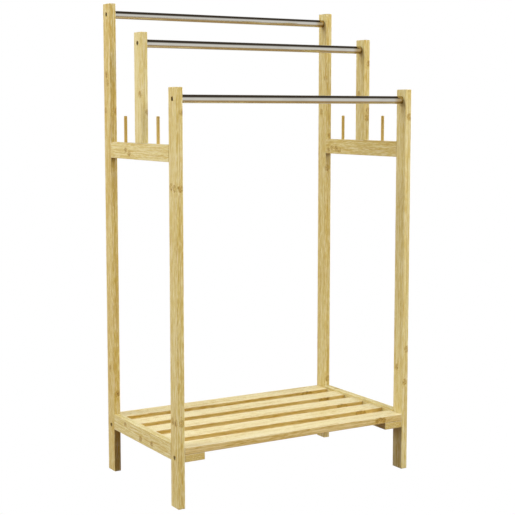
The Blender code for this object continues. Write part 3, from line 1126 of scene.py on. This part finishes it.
def make_rack():
    for side in SIDES:
        for row in ROWS:
            make_post(side, row)
            make_bolt(f"{row}_bar_bolt_{side}", side)
            make_insert(row, side)
        for level in ("upper", "lower"):
            make_rail(side, level)
            for end in ENDS:
                make_dowel(f"{side}_{level}_rail_{end}_dowel", (0, 1, 0))
        make_dowel(f"{side}_middle_post_dowel", (0, 0, 1))
        make_cleat(side)
        for end in ENDS:
            make_peg(side, end)
            make_bolt(f"{side}_{end}_shelf_screw", side)
        for index in SLATS:
            make_slat_screw(side, index)
    for row in ROWS:
        make_bar(row)
    for index in SLATS:
        make_slat(index)


# ---- Studio ---------------------------------------------------------------------------

# The place is in metres, the angles in degrees, and the lens and sensor in millimetres.
CAMERA_PLACE = (-1.2115, -2.0305, 0.6985)
CAMERA_HEADING = 30.81
CAMERA_TILT = -6.06
CAMERA_LENS = 86.05
CAMERA_SENSOR = 36.0
CAMERA_SHIFT = -0.03

FLOOR_SIZE = 14.0
FLOOR_DROP = 0.0002
FLOOR_BOUNCE = (0.19, 0.110, 0.050, 1.0)
DOME_STRENGTH = 0.36
DOME_HIGH = (0.050, 0.038, 0.026, 1.0)
DOME_LEVEL = (0.75, 0.74, 0.69, 1.0)
DOME_LOW = (0.42, 0.280, 0.115, 1.0)
DOME_EDGE = (0.22, 0.13, 0.065, 1.0)
WHITE = (1.0, 1.0, 1.0, 1.0)

# Each lamp's name, place in metres and power in watts.
SOFTBOX_SIZE = 1.8
SOFTBOXES = (
    ("left_softbox", (-3.2, 0.8, 1.9), 96.0),
    ("front_softbox", (0.7, -3.1, 1.9), 90.0),
    ("right_softbox", (3.2, -0.4, 1.9), 45.0),
    ("back_softbox", (-0.2, 3.2, 1.9), 45.0),
)


def make_camera():
    data = bpy.data.cameras.new("camera")
    data.lens = CAMERA_LENS
    data.sensor_width = CAMERA_SENSOR
    data.shift_y = CAMERA_SHIFT
    camera = bpy.data.objects.new("camera", data)
    bpy.context.scene.collection.objects.link(camera)
    camera.location = CAMERA_PLACE
    turn = math.radians(-CAMERA_HEADING)
    camera.rotation_euler = (math.radians(90.0 + CAMERA_TILT), 0.0, turn)
    bpy.context.scene.camera = camera


def make_floor():
    """A plain white floor, clear from below, which throws a warm light back at the rack."""
    solid = bmesh.new()
    bmesh.ops.create_grid(solid, x_segments=1, y_segments=1, size=FLOOR_SIZE / 2)
    floor = new_object("floor", solid)
    floor.location.z = -FLOOR_DROP
    floor.visible_glossy = False
    material = bpy.data.materials.new("floor")
    material.use_nodes = True
    nodes = material.node_tree.nodes
    links = material.node_tree.links
    nodes.clear()
    seen = nodes.new("ShaderNodeEmission")
    seen.inputs["Color"].default_value = WHITE
    bounce = nodes.new("ShaderNodeBsdfDiffuse")
    bounce.inputs["Color"].default_value = FLOOR_BOUNCE
    path = nodes.new("ShaderNodeLightPath")
    mix = nodes.new("ShaderNodeMixShader")
    links.new(path.outputs["Is Camera Ray"], mix.inputs[0])
    links.new(bounce.outputs[0], mix.inputs[1])
    links.new(seen.outputs[0], mix.inputs[2])
    face = nodes.new("ShaderNodeNewGeometry")
    clear = nodes.new("ShaderNodeBsdfTransparent")
    sided = nodes.new("ShaderNodeMixShader")
    links.new(face.outputs["Backfacing"], sided.inputs[0])
    links.new(mix.outputs[0], sided.inputs[1])
    links.new(clear.outputs[0], sided.inputs[2])
    output = nodes.new("ShaderNodeOutputMaterial")
    links.new(sided.outputs[0], output.inputs["Surface"])
    floor.data.materials.append(material)


def make_world():
    """A white surround; what shines sees a dark ceiling, pale walls and a warm floor in it."""
    world = bpy.data.worlds.new("studio")
    bpy.context.scene.world = world
    world.use_nodes = True
    nodes = world.node_tree.nodes
    links = world.node_tree.links
    nodes.clear()
    direction = nodes.new("ShaderNodeTexCoord")
    split = nodes.new("ShaderNodeSeparateXYZ")
    links.new(direction.outputs["Generated"], split.inputs[0])
    height = nodes.new("ShaderNodeMapRange")
    height.inputs["From Min"].default_value = -1.0
    links.new(split.outputs["Z"], height.inputs["Value"])

    def ramp(*stops):
        made = nodes.new("ShaderNodeValToRGB")
        links.new(height.outputs[0], made.inputs[0])
        elements = made.color_ramp.elements
        while len(elements) < len(stops):
            elements.new(1.0)
        for element, (position, colour) in zip(elements, stops):
            element.position = position
            element.color = colour
        return made.outputs[0]

    shine = nodes.new("ShaderNodeBackground")
    stops = ((0.14, DOME_LOW), (0.31, DOME_LEVEL), (0.66, DOME_LEVEL), (0.85, DOME_HIGH))
    links.new(ramp(*stops), shine.inputs["Color"])
    glow = nodes.new("ShaderNodeBackground")
    glow.inputs["Strength"].default_value = DOME_STRENGTH
    links.new(ramp((0.48, DOME_EDGE), (0.75, WHITE)), glow.inputs["Color"])
    seen = nodes.new("ShaderNodeBackground")
    seen.inputs["Color"].default_value = WHITE
    path = nodes.new("ShaderNodeLightPath")
    output = nodes.new("ShaderNodeOutputWorld")
    dim = nodes.new("ShaderNodeMixShader")
    links.new(path.outputs["Is Glossy Ray"], dim.inputs[0])
    links.new(glow.outputs[0], dim.inputs[1])
    links.new(shine.outputs[0], dim.inputs[2])
    final = nodes.new("ShaderNodeMixShader")
    links.new(path.outputs["Is Camera Ray"], final.inputs[0])
    links.new(dim.outputs[0], final.inputs[1])
    links.new(seen.outputs[0], final.inputs[2])
    links.new(final.outputs[0], output.inputs["Surface"])


def make_softbox(name, place, power):
    """A square lamp that faces the middle of the rack and isn't mirrored in the steel."""
    data = bpy.data.lights.new(name, "AREA")
    data.shape = "SQUARE"
    data.size = SOFTBOX_SIZE
    data.energy = power
    lamp = bpy.data.objects.new(name, data)
    bpy.context.scene.collection.objects.link(lamp)
    lamp.location = place
    middle = (Vector(cad_low) + Vector(cad_high)) / 2
    lamp.rotation_euler = (middle - Vector(place)).to_track_quat("-Z", "Y").to_euler()
    lamp.visible_glossy = False


def make_studio():
    make_camera()
    make_floor()
    make_world()
    for name, place, power in SOFTBOXES:
        make_softbox(name, place, power)
    bpy.context.scene.view_settings.view_transform = "Standard"


make_studio()
make_rack()
